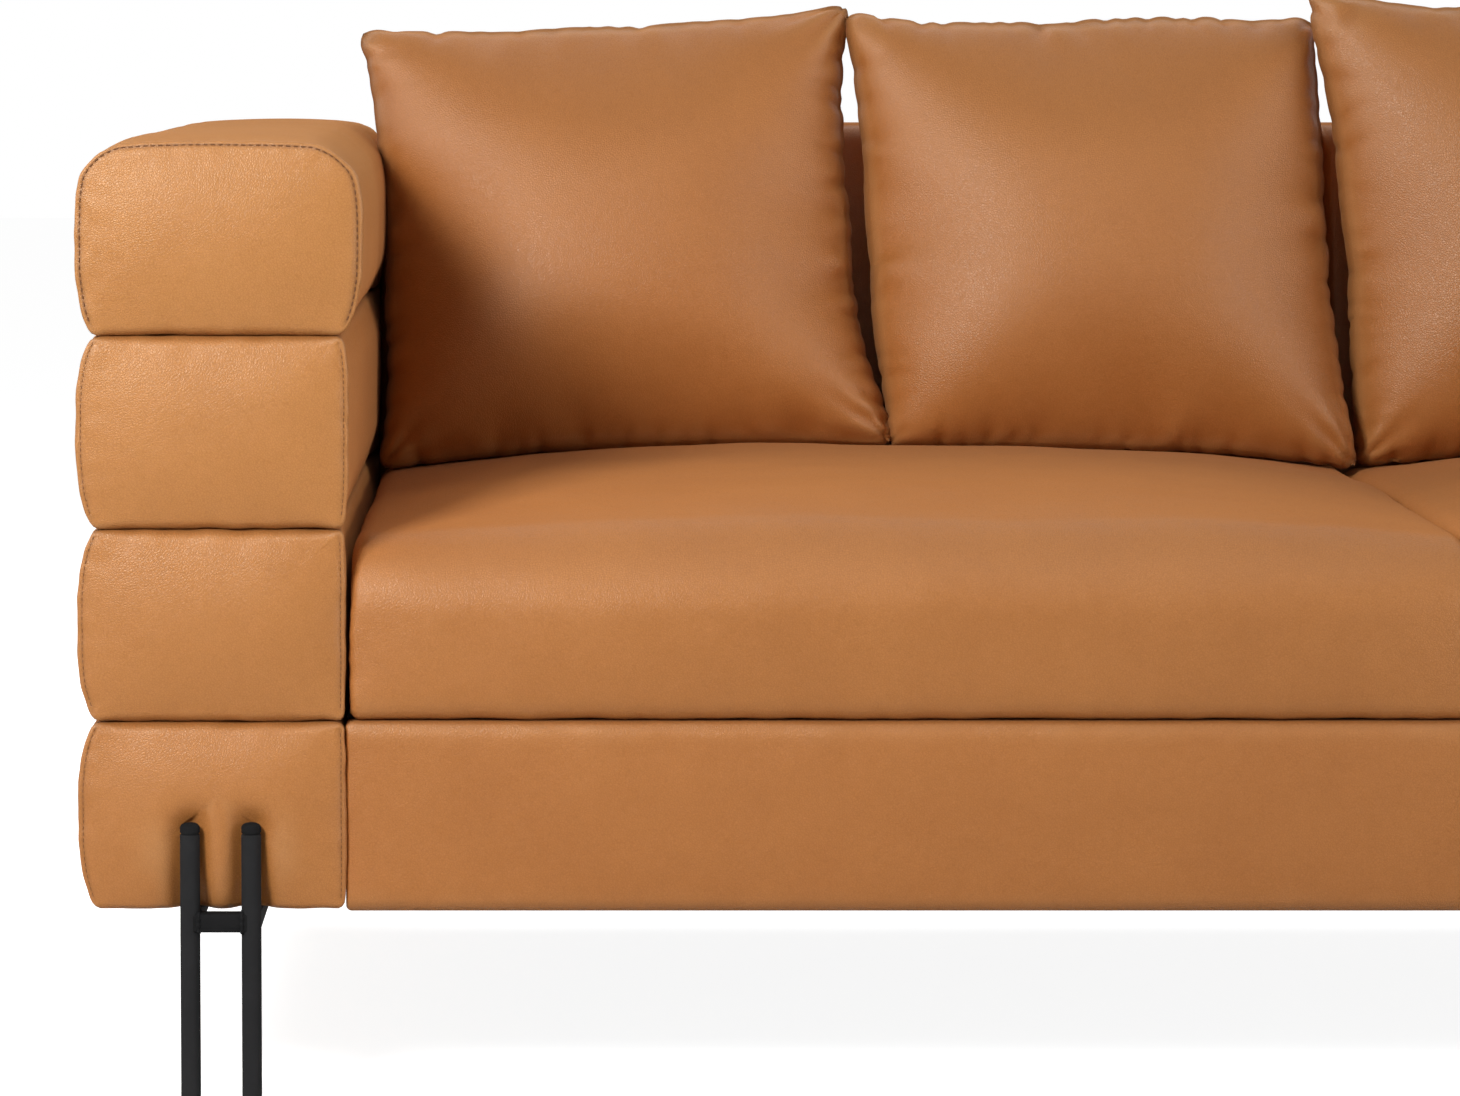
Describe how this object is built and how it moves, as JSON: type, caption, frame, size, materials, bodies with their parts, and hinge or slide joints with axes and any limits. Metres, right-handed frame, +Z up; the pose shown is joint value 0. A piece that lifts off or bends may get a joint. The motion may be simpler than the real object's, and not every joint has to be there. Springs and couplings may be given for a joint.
{
  "type": "three-seater sofa",
  "caption": "Leather sofa with arms of stacked stuffed rolls, loose crowned seat cushions and loose back pillows, on twin-rod black steel legs; cushions and pillows pull out.",
  "frame": {"origin": "on the floor under the middle of the sofa", "axes": "+X to the right of someone facing the sofa from the front, -Y towards the front, +Z up"},
  "size_m": [2.106, 0.835, 0.8469],
  "materials": {
    "tan_leather": "fine grain, semi-matt",
    "black_steel": "satin black powder coat",
    "zinc_steel": "zinc plate",
    "plywood": "bare plywood",
    "foam": "open-cell foam",
    "webbing": "woven elastic",
    "black_cloth": "plain cloth",
    "black_plastic": "moulded"
  },
  "bodies": {
    "base_arms_and_back": {"back_board": "plywood", "base_board_centre": "plywood", "base_board_front": "plywood", "base_board_rear": "plywood", "deck_cloth": "black_cloth", "dust_cover": "black_cloth", "front_apron": "tan_leather", "left_arm_cleat": "plywood", "left_arm_frame": "plywood", "left_arm_front_bolt": "zinc_steel", "left_arm_rear_bolt": "zinc_steel", "left_arm_roll_1": "tan_leather", "left_arm_roll_2": "tan_leather", "left_arm_roll_3": "tan_leather", "left_arm_roll_4": "tan_leather", "left_back_pad": "tan_leather", "left_base_board": "plywood", "left_front_leg": "black_steel", "left_front_leg_inner_glide": "black_plastic", "left_front_leg_outer_glide": "black_plastic", "left_inner_bearer": "black_steel", "left_outer_bearer": "black_steel", "left_rear_leg": "black_steel", "left_rear_leg_inner_glide": "black_plastic", "left_rear_leg_outer_glide": "black_plastic", "left_webbing": "webbing", "outside_back": "tan_leather", "right_arm_cleat": "plywood", "right_arm_frame": "plywood", "right_arm_front_bolt": "zinc_steel", "right_arm_rear_bolt": "zinc_steel", "right_arm_roll_1": "tan_leather", "right_arm_roll_2": "tan_leather", "right_arm_roll_3": "tan_leather", "right_arm_roll_4": "tan_leather", "right_back_pad": "tan_leather", "right_base_board": "plywood", "right_front_leg": "black_steel", "right_front_leg_inner_glide": "black_plastic", "right_front_leg_outer_glide": "black_plastic", "right_inner_bearer": "black_steel", "right_outer_bearer": "black_steel", "right_rear_leg": "black_steel", "right_rear_leg_inner_glide": "black_plastic", "right_rear_leg_outer_glide": "black_plastic", "right_webbing": "webbing"},
    "left_seat": {"left_seat_cover": "tan_leather", "left_seat_core": "foam", "left_seat_zip_panel": "black_cloth"},
    "right_seat": {"right_seat_cover": "tan_leather", "right_seat_core": "foam", "right_seat_zip_panel": "black_cloth"},
    "pillow_1": {"pillow_1": "tan_leather"},
    "pillow_2": {"pillow_2": "tan_leather"},
    "pillow_3": {"pillow_3": "tan_leather"},
    "pillow_4": {"pillow_4": "tan_leather"}
  },
  "joints": [
    {"name": "left_seat_pull", "type": "slide", "parent": "base_arms_and_back", "child": "left_seat", "axis": [0, -0.9781, 0.2079], "range_m": [0, 0.62]},
    {"name": "right_seat_pull", "type": "slide", "parent": "base_arms_and_back", "child": "right_seat", "axis": [0, -0.9781, 0.2079], "range_m": [0, 0.62]},
    {"name": "pillow_1_pull", "type": "slide", "parent": "left_seat", "child": "pillow_1", "axis": [0, -0.9781, 0.2079], "range_m": [0, 0.65]},
    {"name": "pillow_2_pull", "type": "slide", "parent": "left_seat", "child": "pillow_2", "axis": [0, -0.9781, 0.2079], "range_m": [0, 0.65]},
    {"name": "pillow_3_pull", "type": "slide", "parent": "right_seat", "child": "pillow_3", "axis": [0, -0.9781, 0.2079], "range_m": [0, 0.65]},
    {"name": "pillow_4_pull", "type": "slide", "parent": "right_seat", "child": "pillow_4", "axis": [0, -0.9781, 0.2079], "range_m": [0, 0.65]}
  ]
}
